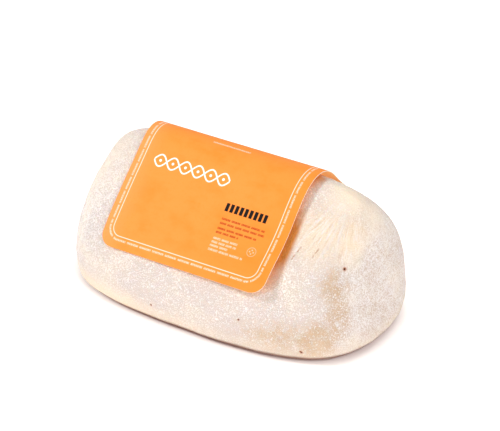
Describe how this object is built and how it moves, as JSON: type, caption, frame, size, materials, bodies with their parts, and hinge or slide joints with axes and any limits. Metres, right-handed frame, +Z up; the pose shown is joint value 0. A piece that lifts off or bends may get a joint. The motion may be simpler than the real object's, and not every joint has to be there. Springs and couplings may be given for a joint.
{
  "type": "pyramid cheese with paper label",
  "caption": "Loaf of pressed cheese with a roof-shaped top, plump steep sides and a flat foot, with a paper label folded over its ridge.",
  "frame": {"origin": "under the middle of the whole, on the table that the cheese rests on", "axes": "+X along the ridge, to the right of the label's printed front; -Y towards the label's printed front; +Z up"},
  "size_m": [0.1886, 0.121, 0.0892],
  "materials": {
    "rind": "matte",
    "label_paper": "satin"
  },
  "bodies": {
    "root": {"cheese": "rind", "label": "label_paper"}
  },
  "joints": []
}
